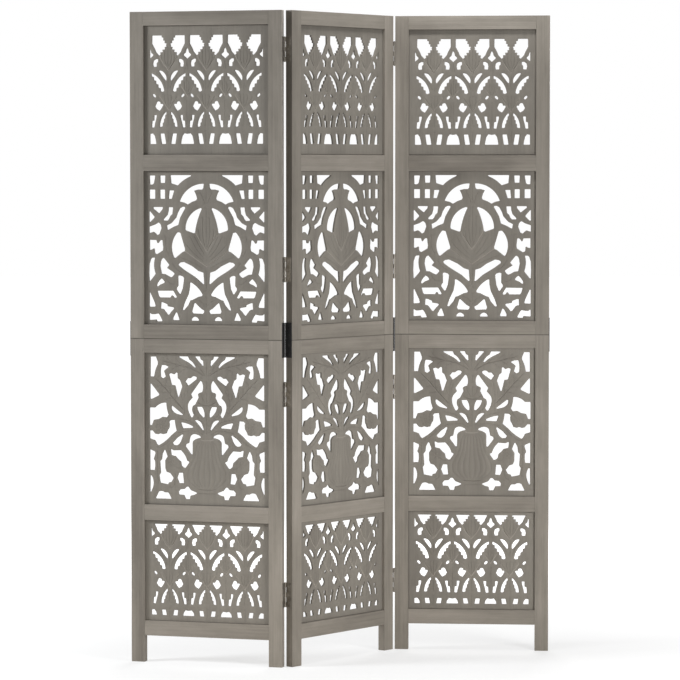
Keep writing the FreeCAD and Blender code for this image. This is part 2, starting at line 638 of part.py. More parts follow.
def fold_plan():
    """Floor plan of the half-open screen: each leaf's origin, and the two fold axes."""
    right_pin_x = LEAF_W + FOLD_GAP / 2
    left_pin_x = -FOLD_GAP / 2
    back_y = FRAME_T + PIN_PROUD
    front_y = -PIN_PROUD
    left_fold = FreeCAD.Vector(0, 0, 0)
    middle = left_fold - turned(left_pin_x, back_y, MIDDLE_TURN)
    right_fold = middle + turned(right_pin_x, front_y, MIDDLE_TURN)
    left = left_fold - turned(right_pin_x, back_y, LEFT_TURN)
    right = right_fold - turned(left_pin_x, front_y, RIGHT_TURN)
    return {"left": left, "middle": middle, "right": right}, (left_fold, right_fold)


def centred_plan(origins, folds):
    """The same plan moved so that the middle of the leaves' floor area is the origin."""
    outer_edge = JOIN_PLATE_T
    corners = []
    for name, turn in TURNS.items():
        for x in (-outer_edge, LEAF_W + outer_edge):
            for y in (JOIN_PLATE_INSET, FRAME_T - JOIN_PLATE_INSET):
                corners.append(origins[name] + turned(x, y, turn))
        for x in (0, LEAF_W):
            for y in (0, FRAME_T):
                corners.append(origins[name] + turned(x, y, turn))
    xs = [corner.x for corner in corners]
    ys = [corner.y for corner in corners]
    centre = FreeCAD.Vector((min(xs) + max(xs)) / 2, (min(ys) + max(ys)) / 2, 0)
    return {name: origin - centre for name, origin in origins.items()}, [fold - centre for fold in folds]


TURNS = {"left": LEFT_TURN, "middle": MIDDLE_TURN, "right": RIGHT_TURN}
# The left fold opens towards the back and the right fold towards the front, like a Z
HINGES = {
    "left": {"right": ("back", False, "hinge_plates")},
    "middle": {
        "left": ("back", True, "left_hinge_plates"),
        "right": ("front", True, "right_hinge_plates"),
    },
    "right": {"left": ("front", False, "hinge_plates")},
}
PIN_EDGES = {"left_fold_pins": ("left", "back"), "right_fold_pins": ("right", "front")}


def main():
    os.makedirs("parts", exist_ok=True)
    origins, folds = centred_plan(*fold_plan())
    shared = shared_pieces()
    nodes = {}
    for leaf, turn in TURNS.items():
        pieces = leaf_pieces(shared, HINGES[leaf])
        if leaf == "middle":
            for node, (edge, face) in PIN_EDGES.items():
                pieces[node] = [to_edge(hinge_pin(level), edge, face) for level in HINGE_LEVELS]
        for piece, solids in pieces.items():
            shape = solids[0] if len(solids) == 1 else Part.makeCompound(solids)
            shape.rotate(FreeCAD.Vector(0, 0, 0), FreeCAD.Vector(0, 0, 1), turn)
            shape.translate(origins[leaf])
            nodes[piece if piece in PIN_EDGES else leaf + "_" + piece] = shape
    for node, shape in nodes.items():
        shape.exportStep(os.path.join("parts", node + ".step"))
    for name, fold in zip(("left fold", "right fold"), folds):
        print(name, "axis at x %.4f y %.4f" % (fold.x, fold.y))
    print(len(nodes), "nodes")


main()
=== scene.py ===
import math

import bpy
import numpy as np
from mathutils import Matrix, Vector, noise
from mathutils.geometry import delaunay_2d_cdt


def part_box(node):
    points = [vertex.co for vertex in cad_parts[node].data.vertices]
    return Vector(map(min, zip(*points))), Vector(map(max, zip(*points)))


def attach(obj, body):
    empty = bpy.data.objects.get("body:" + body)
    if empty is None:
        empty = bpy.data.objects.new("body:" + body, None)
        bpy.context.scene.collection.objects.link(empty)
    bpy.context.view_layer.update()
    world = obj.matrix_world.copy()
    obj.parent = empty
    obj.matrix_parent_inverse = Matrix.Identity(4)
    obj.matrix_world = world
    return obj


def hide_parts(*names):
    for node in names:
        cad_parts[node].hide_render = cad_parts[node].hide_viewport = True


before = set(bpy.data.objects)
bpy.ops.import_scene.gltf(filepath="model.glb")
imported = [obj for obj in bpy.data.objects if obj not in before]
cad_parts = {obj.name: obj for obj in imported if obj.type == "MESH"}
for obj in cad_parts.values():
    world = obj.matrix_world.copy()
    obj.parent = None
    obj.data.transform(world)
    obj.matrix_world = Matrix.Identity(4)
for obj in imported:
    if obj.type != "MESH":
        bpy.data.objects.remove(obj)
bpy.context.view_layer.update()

# Turn of each leaf in plan, in degrees, as in the CAD model
TURNS = {"left": -15.5, "middle": 49.8, "right": -4.9}
DESIGNS = ("base", "vase", "medallion", "crest")

# Joint between the two halves of a leaf, in metres, and where the painted shade in it starts and stops fading
SEAM_Z = 0.825
SEAM_SHADE_FADE = (0.0007, 0.0016)

# Softened edges of wooden and metal pieces, in metres
WOOD_EDGE = 0.0009
METAL_EDGE = 0.00018

# Lips of the joining plates beside a fold, reaching past the leaf's face towards the pins: leaf, edge
# (-1 left, 1 right) and face (-1 front, 1 back). Across and depth are millimetres from the leaf's axis.
LIPS = (("left", 1, 1), ("middle", -1, 1), ("middle", 1, -1), ("right", -1, -1))
LIP_ACROSS = (200.0, 201.85)
LIP_DEPTH = (9.0, 12.05)
LIP_HALF_H = 44.0

# Carved panels, in millimetres: the board, and the rounding of its cut-outs, uneven as handwork is
PANEL_T = 6.0
TONGUE = 7.5
ROUND_R = 0.95
ROUND_UNEVEN = 0.22
ROUND_WAVES = 0.11
ROUND_SHIFT = 3.7
ROUND_STEPS = 3
MITER_LEAST = 0.6
# Edges that bend more than this, in degrees, stay crisp
SHARP_ANGLE = 26
# Spacing of points along cut-outs, with the share of a step left over before one more is put in, and how far
# a dropped point may stand off
EDGE_STEP = 3.0
EDGE_LEFT_OVER = 0.3
STRAIGHT = 0.02
# Spacing of points along strokes and on wide slopes, and the least depth of a slope that needs them
STROKE_STEP = 1.6
SLOPE_GRID = 3.0
SLOPE_ROW = SLOPE_GRID * 0.87
SLOPE_LEAST = 0.02
# Room between the wood's edge and the points of strokes and slopes
STROKE_ROOM = 0.4
SLOPE_ROOM = 1.2
# Strokes: length and bend of their tapered ends, their strength at the tip and the least for their edges,
# deepest cut, and reach of their tone. A stroke that reaches less than VEIN_REACH is cut on top of the
# others, and SHORT_SLOPE parts short slopes from wide.
STROKE_TAPER = 6.0
TAPER_BEND = 0.7
TIP_STRENGTH = 0.02
EDGE_STRENGTH = 0.3
DEEPEST = 2.4
TONE_REACH = 1.5
VEIN_REACH = 2.0
SHORT_SLOPE = 2.5
# Painted shade where a panel meets its frame, standing in for the shadow in the recess: how far it reaches
# into the opening, and its tone
OPENING_SHADE_W = 2.6
OPENING_SHADE_TONE = -1.3

# Kinds of carved stroke: how far its slopes reach to the left and right of its line, its depth, and the
# tone painted along its line: a painted highlight above 0 and painted shade below
FINE = (1.2, 1.2, 0.7, -0.45)
GROOVE = (2.2, 2.2, 1.3, -0.45)
RIB = (4.4, 4.4, 1.0, -0.3)
STEP = (10.0, 1.3, 1.5, 0.9)

# Carved strokes: kind, then points (u, z): u from the drawing's axis, z from the opening's lower edge.
# Every stroke is repeated mirrored, and one that runs past the wood ends at its edge.
MEDALLION_STROKES = (
    # lotus: edges of its layers, then the veins of each
    (STEP, (32, 236), (15, 208), (0, 185)),
    (STEP, (62, 190), (31, 168), (0, 147)),
    (FINE, (0, 192), (0, 250), (0, 298)),
    (FINE, (2, 192), (9, 225), (9, 274)),
    (FINE, (4, 192), (16, 214), (21, 244)),
    (FINE, (4, 176), (17, 197), (33, 226)),
    (FINE, (5, 168), (26, 192), (44, 226)),
    (FINE, (6, 160), (34, 182), (58, 208)),
    (FINE, (7, 141), (34, 156), (74, 172)),
    # crown and stem
    (FINE, (0, 304), (0, 330), (0, 352)),
    (FINE, (3, 304), (9, 320), (17, 337)),
    (FINE, (0, 84), (0, 106), (0, 138)),
    (FINE, (3, 46), (12, 57), (28, 65)),
    (FINE, (0, 40), (0, 56), (0, 74)),
    # scrolls
    (FINE, (82, 102), (96, 104), (108, 117)),
    (FINE, (60, 128), (78, 140), (92, 158)),
    (FINE, (98, 172), (107, 196), (106, 226)),
)
VASE_STROKES = (
    # neck and foot
    (STEP, (0, 164.5), (9, 165), (19, 168)),
    (GROOVE, (0, 39), (14, 39.5), (27, 42)),
    (FINE, (0, 30), (12, 30), (26, 29)),
    # sprays from the neck
    (FINE, (0, 178), (0, 200), (0, 238)),
    (FINE, (4, 182), (22, 200), (44, 213), (74, 219)),
    (FINE, (8, 178), (30, 189), (58, 187), (78, 182)),
    (FINE, (5, 200), (22, 221), (32, 233), (33, 248)),
    # middle flower
    (GROOVE, (0, 253), (10, 254), (26, 263)),
    (FINE, (0, 257), (0, 270), (0, 288)),
    (FINE, (3, 257), (9, 268), (16, 285)),
    (FINE, (0, 294), (0, 306), (0, 318)),
    # leaves at the top
    (GROOVE, (6, 328), (36, 345), (72, 354), (118, 366)),
    (FINE, (36, 345), (46, 352), (56, 362)),
    (FINE, (54, 350), (68, 358), (82, 370)),
    (FINE, (80, 356), (94, 362), (106, 374)),
    (FINE, (50, 348), (62, 343), (72, 334)),
    (FINE, (70, 353), (82, 350), (93, 342)),
    (FINE, (90, 358), (100, 356), (108, 358)),
    (FINE, (0, 324), (0, 350), (0, 374)),
    (FINE, (3, 326), (16, 346), (30, 362)),
    # leaves at the side
    (GROOVE, (60, 240), (84, 266), (110, 296), (136, 322)),
    (FINE, (82, 264), (84, 276), (82, 290)),
    (FINE, (94, 278), (97, 290), (96, 303)),
    (FINE, (107, 292), (110, 304), (106, 318)),
    (FINE, (88, 270), (100, 271), (112, 266)),
    (FINE, (100, 284), (112, 286), (122, 283)),
    (FINE, (114, 300), (124, 302), (134, 297)),
    (FINE, (58, 226), (60, 262), (55, 296), (40, 316)),
    (FINE, (60, 262), (66, 272), (68, 286)),
    (FINE, (59, 276), (52, 284), (48, 296)),
    (FINE, (100, 228), (108, 215), (112, 206)),
    # stems low down
    (FINE, (84, 178), (104, 158), (124, 146), (140, 150)),
    (FINE, (132, 140), (131, 112), (132, 84), (128, 50)),
    (FINE, (100, 140), (101, 128), (97, 120)),
    (FINE, (66, 92), (76, 94), (86, 99)),
    (FINE, (84, 84), (84, 66), (88, 48), (98, 42)),
)
# Ribs of the vase, as shares of its half width at each height
VASE_RIBS = (0.13, 0.38, 0.63, 0.87)
VASE_HALF_WIDTHS = (
    (44, 27), (52, 43), (64, 56), (78, 58), (92, 54), (106, 45), (122, 37.5), (140, 33), (152, 29),
    (162, 19),
)
# Rosettes: middle, radius, petals
VASE_ROSETTES = (((121, 199), 17.0, 9), ((92, 110), 15.5, 8))
ROSETTE_EYE_R = 4.2
ROSETTE_EYE_POINTS = 10
PETAL_START = 1.5
# Palmette border, heights as in its drawing
MOTIF_STROKES = (
    (STEP, (26, 242), (13, 220), (0, 203)),
    (FINE, (0, 210), (0, 236), (0, 264)),
    (FINE, (3, 213), (9, 232), (8, 256)),
    (FINE, (5, 211), (15, 226), (18, 246)),
    (FINE, (0, 154), (0, 176), (0, 198)),
    (FINE, (5, 158), (14, 180), (32, 200)),
    (STEP, (25, 141), (12, 121), (0, 104)),
    (FINE, (0, 110), (0, 126), (0, 146)),
    (FINE, (3, 112), (8, 126), (9, 144)),
    (FINE, (0, 62), (0, 80), (0, 98)),
    (FINE, (0, 22), (0, 38), (0, 54)),
)
BETWEEN_STROKES = (
    (STEP, (17, 164), (7, 149), (0, 138)),
    (FINE, (0, 144), (0, 164), (0, 188)),
    (FINE, (2, 145), (6, 158), (5, 176)),
    (FINE, (0, 66), (0, 96), (0, 130)),
    (FINE, (4, 204), (2, 214), (0, 226)),
)
MOTIF_AXES = (-100.0, 0.0, 100.0)
BETWEEN_AXES = (-50.0, 50.0)
# How the border's heights are stretched and lifted on each panel
BORDER_MAP = {"crest": (1.0, 9.0), "base": (0.985, -15.5)}
# Middle line of the scallops on a palmette's side, how far they stand off it, how much deeper they are
# carved, how close the points of their corners may stand, and how near a cut-out's top is left alone
SCALLOP_LINE = ((23.5, 240.5), (6.0, 267.0), (17.4, 289.5))
SCALLOP_REACH = 4.0
SCALLOP_GAIN = 1.0
SCALLOP_STEP = 1.3
SCALLOP_TOP = 0.05

# Tones of the wood: dark, middle and light wash, pores, rubbed edges (also the painted highlight along carved
# strokes), and the painted shade along carved strokes and round the frame's openings
FRAME_TONES = (
    (118, 112, 104), (136, 130, 121), (152, 145, 136), (96, 91, 83), (164, 157, 147), (90, 85, 78),
)
CARVED_TONES = (
    (112, 107, 100), (128, 123, 115), (143, 138, 129), (90, 85, 79), (166, 160, 151), (84, 79, 73),
)
# Tone of the painted shade in the seam between the two halves of a leaf
SEAM_SHADE_TONE = (62, 58, 53)
# How strongly the wash varies on frames and on panels
FRAME_FIGURE = 1.0
CARVED_FIGURE = 0.6
# Noises of the grain: stretch along it, scale, detail, roughness, distortion
BROAD = (0.16, 11, 2, 0.5, 0.4)
STREAK = (0.022, 190, 4, 0.62, 0.3)
FIBRE = (0.03, 720, 3, 0.6, 0.0)
WASH = (0.35, 34, 4, 0.6, 0.0)
# Most that a piece's place in the grain is shifted, in metres
GRAIN_SHIFT = (4.7, 11.9, 9.1)
# Figure: shares of the broad noise, the streaks and the wash, what chance adds for each piece, and half of
# the span from the dark tone to the light one
FIGURE_SHARES = (0.50, 0.27, 0.23)
FIGURE_CHANCE = 0.05
FIGURE_SPAN = 0.14
# Pores: the part of the fibre noise that shows as pores, and how much they darken the wood
PORE_SPAN = (0.60, 0.74)
PORE_STRENGTH = 0.3
# Rubbed edges: width in metres, the bends and the parts of the wash where they show, and how light they get
RUB_WIDTH = 0.0022
RUB_BENDS = (0.015, 0.22)
RUB_WASH = (0.38, 0.66)
RUB_STRENGTH = 0.42
# How much the tone painted along carved strokes and round the openings lightens the wood, as a painted
# highlight, or darkens it, as painted shade
CARVED_HIGHLIGHT = 0.75
CARVED_SHADE = 0.6
# Painted shade in the seam: its least strength, and what the wash adds to it
SEAM_STRENGTH = 0.5
SEAM_UNEVEN = 0.4
SEAM_WASH = (0.35, 0.6)
# Surface of the wood: roughness and what the streaks add to it, gloss, heights of streaks and pores, and the
# strength and depth in metres of their bump
WOOD_ROUGH = 0.56
STREAK_ROUGH = 0.22
WOOD_GLOSS = 0.28
STREAK_HEIGHT = 0.7
PORE_DEPTH = 0.5
GRAIN_BUMP = (0.45, 0.0007)

# Metals: darker and lighter tone, tone of rubbed edges, metallic, roughness, wear
METAL_LOOKS = {
    "black_iron_paint": ((20, 19, 19), (34, 33, 32), (120, 116, 110), 0.0, 0.42, 0.6),
    "black_screw_paint": ((24, 23, 22), (40, 38, 36), (112, 108, 102), 0.0, 0.38, 0.5),
    "hinge_steel_aged": ((112, 107, 100), (144, 139, 131), (200, 195, 187), 1.0, 0.44, 0.9),
    "screw_steel_aged": ((122, 117, 110), (154, 149, 141), (200, 196, 189), 1.0, 0.4, 0.8),
}
METAL_OF = {
    "joining_plates": "black_iron_paint",
    "joining_screws": "black_screw_paint",
    "hinge_plates": "hinge_steel_aged",
    "fold_pins": "hinge_steel_aged",
    "hinge_screws": "screw_steel_aged",
}
# Cloudy tone of the metals: scale, detail and roughness of its noise, its span, and what it adds to roughness
CLOUD = (85, 4, 0.6)
CLOUD_SPAN = (0.35, 0.65)
CLOUD_ROUGH = 0.3
# Rubbed edges of the metals: width in metres, and the bends and the parts of the cloud where they show
METAL_RUB_WIDTH = 0.0006
METAL_RUB_BENDS = (0.02, 0.25)
METAL_RUB_CLOUD = (0.35, 0.6)
# Scratches: stretch, scale, detail and roughness of their noise, and the strength and depth of their bump
SCRATCH = (0.05, 1400, 2, 0.5)
SCRATCH_BUMP = (0.15, 0.0002)

# Studio, in metres: the floor, its glow near the object and away from it, the paint that takes the shadow and
# the paint that throws light back, and the strength of the room's light
FLOOR_HALF_W = 30.0
FLOOR_GLOW = (0.62, 1.0)
FLOOR_GLOW_REACH = (0.5, 2.2)
FLOOR_SEEN = (0.38, 0.38, 0.38, 1)
FLOOR_BOUNCE = (0.82, 0.81, 0.79, 1)
WHITE = (1, 1, 1, 1)
ROOM_LIGHT = 0.16
# Soft lights: place, target, size, power in watts, spread in degrees, colour
SOFTBOXES = {
    "right_softbox": ((1.2, -1.3, 0.8), (0.15, 0, 0.65), (0.5, 0.5), 9.0, 120, (1, 1, 1)),
    "left_softbox": ((-2.9, -0.7, 2.0), (-0.3, 0, 0.6), (0.7, 0.9), 75, 180, (0.96, 0.98, 1)),
    "top_softbox": ((0.23, -0.15, 2.2), (0.23, 0.15, 1.5), (0.45, 0.12), 6.2, 180, (1, 1, 1)),
    "low_softbox": ((0.0, -0.75, 0.08), (0, 0, 0.06), (1.3, 0.12), 1.45, 180, (1, 0.92, 0.82)),
    "back_softbox": ((0.4, 2.9, 1.5), (0, 0, 0.8), (1.6, 1.2), 55, 180, (1, 1, 1)),
}
# Camera: place, degrees that it looks down, lens and sensor in millimetres
CAMERA_PLACE = (-0.0062, -8.138, 1.244)
CAMERA_DOWN = 3.0
CAMERA_LENS = 168.7
CAMERA_SENSOR = 36
CAMERA_FAR = 200


# Strokes of the carving

def mirrored(strokes):
    """Every stroke and its mirror image, with whether its start and end meet the image on the axis."""
    for kind, *points in strokes:
        on_axis = [u == 0 for u, _ in points]
        meets = (False, False) if all(on_axis) else (on_axis[0], on_axis[-1])
        yield kind, points, meets
        if not all(on_axis):
            left, right, depth, tone = kind
            yield (right, left, depth, tone), [(-u, z) for u, z in points], meets


def border_strokes(stretch, lift):
    for axes, strokes in ((MOTIF_AXES, MOTIF_STROKES), (BETWEEN_AXES, BETWEEN_STROKES)):
        for axis in axes:
            for kind, points, meets in mirrored(strokes):
                yield kind, [(u + axis, z * stretch + lift) for u, z in points], meets


def rosette_strokes(middle, radius, petals):
    """A round eye and the lines between the petals, on both sides of the drawing's axis."""
    reaches = (ROSETTE_EYE_R + PETAL_START, (ROSETTE_EYE_R + radius) / 2, radius)
    for sign in (-1, 1):

        def spot(turn, reach):
            return sign * (middle[0] + reach * math.cos(turn)), middle[1] + reach * math.sin(turn)

        eye_turns = [math.tau * i / ROSETTE_EYE_POINTS for i in range(ROSETTE_EYE_POINTS + 1)]
        yield FINE, [spot(turn, ROSETTE_EYE_R) for turn in eye_turns], (True, True)
        for i in range(petals):
            turn = math.tau * (i + 0.5) / petals
            yield FINE, [spot(turn, reach) for reach in reaches], (False, False)


def carved_strokes(design):
    """Every stroke carved into a panel: kind, points, and whether each end meets another stroke."""
    if design in BORDER_MAP:
        return list(border_strokes(*BORDER_MAP[design]))
    if design == "medallion":
        return list(mirrored(MEDALLION_STROKES))
    strokes = list(mirrored(VASE_STROKES))
    for share in VASE_RIBS:
        strokes += mirrored([(RIB, *[(share * half, z) for z, half in VASE_HALF_WIDTHS])])
    for rosette in VASE_ROSETTES:
        strokes += rosette_strokes(*rosette)
    return strokes


def spline(points):
    """Points about STROKE_STEP apart on a smooth curve through the given ones."""
    p = [np.array(q, float) for q in points]
    closed = np.linalg.norm(p[0] - p[-1]) < 1e-6
    p = [p[-2] if closed else 2 * p[0] - p[1], *p, p[1] if closed else 2 * p[-1] - p[-2]]
    made = []
    for a, b, c, d in zip(p, p[1:], p[2:], p[3:]):
        count = max(2, round(np.linalg.norm(c - b) / STROKE_STEP))
        for t in np.arange(count) / count:
            bend = (2 * a - 5 * b + 4 * c - d) * t * t + (3 * b - a - 3 * c + d) * t ** 3
            made.append(b + 0.5 * ((c - a) * t + bend))
    made.append(p[-2])
    return np.array(made)


def tapered_strokes(design):
    """Every stroke as its kind, the points of its line, and its strength at each of them."""
    made = []
    for kind, points, meets in carved_strokes(design):
        line = spline(points)
        along = np.concatenate(([0], np.cumsum(np.linalg.norm(np.diff(line, axis=0), axis=1))))
        start = np.ones(len(line)) if meets[0] else along / STROKE_TAPER
        end = np.ones(len(line)) if meets[1] else (along[-1] - along) / STROKE_TAPER
        made.append((kind, line, np.clip(np.minimum(start, end), TIP_STRENGTH, 1) ** TAPER_BEND))
    return made


# Outlines of the panels, read from the CAD nodes

def along_leaf(node, turn):
    """A node's points in millimetres along, across and up its leaf."""
    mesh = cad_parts[node].data
    co = np.empty(len(mesh.vertices) * 3)
    mesh.vertices.foreach_get("co", co)
    x, y, z = co.reshape(-1, 3).T * 1000
    c, s = math.cos(turn), math.sin(turn)
    return x * c + y * s, y * c - x * s, z


def halfway(values):
    return (values.min() + values.max()) / 2


def leaf_axis(node, turn):
    """Place in plan of the upright axis through a panel's middle."""
    u, w, _ = along_leaf(node, turn)
    return Matrix.Rotation(turn, 3, "Z") @ Vector((halfway(u), halfway(w), 0)) / 1000


def panel_loops(node, turn):
    """Rim of a panel's front face, then its cut-outs, with wood on their left."""
    u, w, z = along_leaf(node, turn)
    front = w < halfway(w)
    flat = np.column_stack((u - halfway(u), z - z.min() - TONGUE))
    keys = {}
    ids = [keys.setdefault(tuple(np.round(q, 4)), len(keys)) for q in flat]
    places = np.array(list(keys))
    edges = set()
    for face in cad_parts[node].data.polygons:
        if all(front[i] for i in face.vertices):
            ring = [ids[i] for i in face.vertices]
            edges.update(zip(ring, ring[1:] + ring[:1]))
    after = {a: b for a, b in edges if (b, a) not in edges}
    loops = []
    for start in sorted(after):
        if start not in after:
            continue
        loop = [start]
        while after[loop[-1]] != start:
            loop.append(after[loop[-1]])
        for i in loop:
            del after[i]
        loops.append(places[loop])
    return sorted(loops, key=lambda loop: -np.ptp(loop[:, 0]))


def evened(loop):
    """A cut-out's outline without the points that hardly bend it, and with points along its straights."""
    kept = [loop[0]]
    for i in range(1, len(loop)):
        run = loop[(i + 1) % len(loop)] - kept[-1]
        step = loop[i] - kept[-1]
        length = np.linalg.norm(run)
        if length > EDGE_STEP or abs(run[0] * step[1] - run[1] * step[0]) > STRAIGHT * length:
            kept.append(loop[i])
    filled = []
    for here, there in zip(kept, kept[1:] + kept[:1]):
        parts = max(1, math.ceil(np.linalg.norm(there - here) / EDGE_STEP - EDGE_LEFT_OVER))
        filled += [here + (there - here) * k / parts for k in range(parts)]
    return np.array(filled)


def unit(v):
    return v / np.maximum(np.linalg.norm(v, axis=1), 1e-9)[:, None]


def left_of(v):
    return unit(np.column_stack((-v[:, 1], v[:, 0])))


def set_back(loop, reach):
    """An outline moved into the wood by a reach given for each point."""
    before = left_of(loop - np.roll(loop, 1, axis=0))
    after = left_of(np.roll(loop, -1, axis=0) - loop)
    normal = unit(before + after)
    miter = 1 / np.maximum(MITER_LEAST, (normal * after).sum(axis=1))
    return loop + normal * (reach * miter)[:, None]


def segment_distance(points, a, b):
    """Distance of every point from every segment, its place along it, and whether it is on the left."""
    run = b - a
    rel = points[:, None, :] - a[None, :, :]
    t = np.clip((rel * run).sum(axis=2) / np.maximum((run * run).sum(axis=1), 1e-12), 0, 1)
    left = run[None, :, 0] * rel[:, :, 1] - run[None, :, 1] * rel[:, :, 0] > 0
    return np.linalg.norm(rel - t[:, :, None] * run[None, :, :], axis=2), t, left


def scalloped(loop, stretch, lift):
    """A border's cut-out with the scallops of the palmettes carved deeper, about their middle line."""
    moved = loop.copy()
    row = np.arange(len(loop))
    below_top = loop[:, 1] < loop[:, 1].max() - SCALLOP_TOP
    carved = np.zeros(len(loop), bool)
    for axis in MOTIF_AXES:
        for sign in (-1, 1):
            line = np.array([(sign * u + axis, z * stretch + lift) for u, z in SCALLOP_LINE])
            distance, t, _ = segment_distance(loop, line[:-1], line[1:])
            part = distance.argmin(axis=1)
            along = part + t[row, part]
            near = below_top & (distance[row, part] < SCALLOP_REACH) & (along > 0) & (along < len(line) - 1)
            foot = line[part] + t[row, part][:, None] * (line[1:] - line[:-1])[part]
            moved[near] += SCALLOP_GAIN * (loop - foot)[near]
            carved |= near
    kept = [moved[0]]
    for q, on_scallop in zip(moved[1:], carved[1:]):
        if not on_scallop or np.linalg.norm(q - kept[-1]) > SCALLOP_STEP:
            kept.append(q)
    return np.array(kept)


def clearance(points, loops):
    """Distance from each point to the nearest edge of the wood, negative outside it."""
    a = np.concatenate(loops)
    b = np.concatenate([np.roll(loop, -1, axis=0) for loop in loops])
    distance = segment_distance(points, a, b)[0].min(axis=1)
    z = points[:, 1][:, None]
    spans = (a[:, 1] > z) != (b[:, 1] > z)
    rise = np.where(np.abs(b[:, 1] - a[:, 1]) < 1e-12, 1e-12, b[:, 1] - a[:, 1])
    crossing = a[:, 0] + (z - a[:, 1]) / rise * (b[:, 0] - a[:, 0])
    inside = (spans & (points[:, 0][:, None] < crossing)).sum(axis=1) % 2 == 1
    return np.where(inside, distance, -distance)


# Carved panels

def carved_depth(points, strokes):
    """How deep the carving goes at each point, and the tone painted along the stroke that passes there: a
    painted highlight or painted shade.
    """
    slopes = np.zeros(len(points))
    veins = np.zeros(len(points))
    tones = np.zeros(len(points))
    for (left, right, depth, tone), line, strength in strokes:
        reach = max(left, right)
        inside = (points > line.min(axis=0) - reach) & (points < line.max(axis=0) + reach)
        near = np.where(inside.all(axis=1))[0]
        if not len(near):
            continue
        distance, t, on_left = segment_distance(points[near], line[:-1], line[1:])
        nearest = distance.argmin(axis=1)
        row = np.arange(len(near))
        distance = distance[row, nearest]
        sides = np.where(on_left[row, nearest], left, right)
        here = strength[nearest] + t[row, nearest] * (strength[nearest + 1] - strength[nearest])
        cut = depth * here * np.clip(1 - distance / sides, 0, 1)
        kind = veins if reach < VEIN_REACH else slopes
        kind[near] = np.maximum(kind[near], cut)
        shade = tone * here * np.clip(1 - distance / TONE_REACH, 0, 1)
        tones[near] = np.where(np.abs(shade) > np.abs(tones[near]), shade, tones[near])
    return np.minimum(slopes + veins, DEEPEST), tones


def painted_opening_shade(points, rim):
    """Tone of the painted shade round the frame's opening, at each point."""
    from_rim = np.minimum(points - rim.min(axis=0), rim.max(axis=0) - points).min(axis=1)
    return OPENING_SHADE_TONE * np.clip(1 - (from_rim - TONGUE) / OPENING_SHADE_W, 0, 1)


def stroke_lanes(strokes):
    """Lines that the mesh has to follow: every stroke's own, and the edges of its short slopes."""
    for (left, right, _, _), line, strength in strokes:
        side = left_of(np.gradient(line, axis=0))
        yield line
        for reach, sign in ((left, 1), (right, -1)):
            if reach < SHORT_SLOPE:
                yield line + side * (sign * reach * np.clip(strength, EDGE_STRENGTH, 1))[:, None]


def opening_lanes(rim):
    """Rings that the mesh has to follow: the frame's opening, and the end of the painted shade in it."""
    for inset in (TONGUE, TONGUE + OPENING_SHADE_W):
        low = rim.min(axis=0) + inset
        high = rim.max(axis=0) - inset
        ring = evened(np.array((low, (high[0], low[1]), high, (low[0], high[1]))))
        yield np.concatenate((ring, ring[:1]))


def slope_points(strokes, loops):
    """Points spread over the wide slopes, where the wood has room for them."""
    low = loops[0].min(axis=0)
    high = loops[0].max(axis=0)
    grid = []
    for row, z in enumerate(np.arange(low[1], high[1], SLOPE_ROW)):
        shift = SLOPE_GRID / 2 * (row % 2)
        grid += [(u, z) for u in np.arange(low[0] + shift, high[0], SLOPE_GRID)]
    grid = np.array(grid)
    wide = [stroke for stroke in strokes if max(stroke[0][:2]) > SHORT_SLOPE]
    grid = grid[carved_depth(grid, wide)[0] > SLOPE_LEAST]
    if len(grid):
        grid = grid[clearance(grid, loops) > SLOPE_ROOM]
    return grid


def wood_cells(loops, strokes):
    """The wood between its rim and its cut-outs as points, flat cells, and the points of every loop."""
    points = []
    faces = []
    for number, loop in enumerate(loops):
        face = list(range(len(points), len(points) + len(loop)))
        faces.append(face[::-1] if number else face)
        points += [tuple(q) for q in loop]
    edges = []
    for lane in (*stroke_lanes(strokes), *opening_lanes(loops[0])):
        clear = clearance(lane, loops) > STROKE_ROOM
        for i, q in enumerate(lane):
            if clear[i]:
                if i and clear[i - 1]:
                    edges.append((len(points) - 1, len(points)))
                points.append(tuple(q))
    points += [tuple(q) for q in slope_points(strokes, loops)]
    flat, _, cells, origin, _, cell_origin = delaunay_2d_cdt(
        [Vector(q) for q in points], edges, faces, 0, 1e-4)
    place = {source: i for i, sources in enumerate(origin) for source in sources}
    wood = [list(cell) for cell, sources in zip(cells, cell_origin) if list(sources) == [0]]
    rings = [[place[i] for i in sorted(face)] for face in faces]
    return np.array([tuple(q) for q in flat]), wood, rings


def edge_radii(hole, number):
    """Radius of a cut-out's rounded edge at each of its points."""
    spots = [Vector((u * ROUND_WAVES, z * ROUND_WAVES, number * ROUND_SHIFT)) for u, z in hole]
    return ROUND_R * (1 + ROUND_UNEVEN * np.array([noise.noise(spot) for spot in spots]))


def edge_rows(hole, radii, sunk):
    """Rows of points round a cut-out, over its rounded edges from the front to the back."""
    turns = [math.pi / 2 * k / ROUND_STEPS for k in range(1, ROUND_STEPS + 1)]
    for side in (-1, 1):
        for turn in turns if side < 0 else reversed(turns):
            row = set_back(hole, radii * (1 - math.sin(turn)))
            y = side * (PANEL_T / 2 - sunk - radii * (1 - math.cos(turn)))
            yield np.column_stack((row[:, 0], y, row[:, 1]))


def band(a, b):
    """Faces between two rings of points."""
    return [[a[i - 1], b[i - 1], b[i], a[i]] for i in range(len(a))]


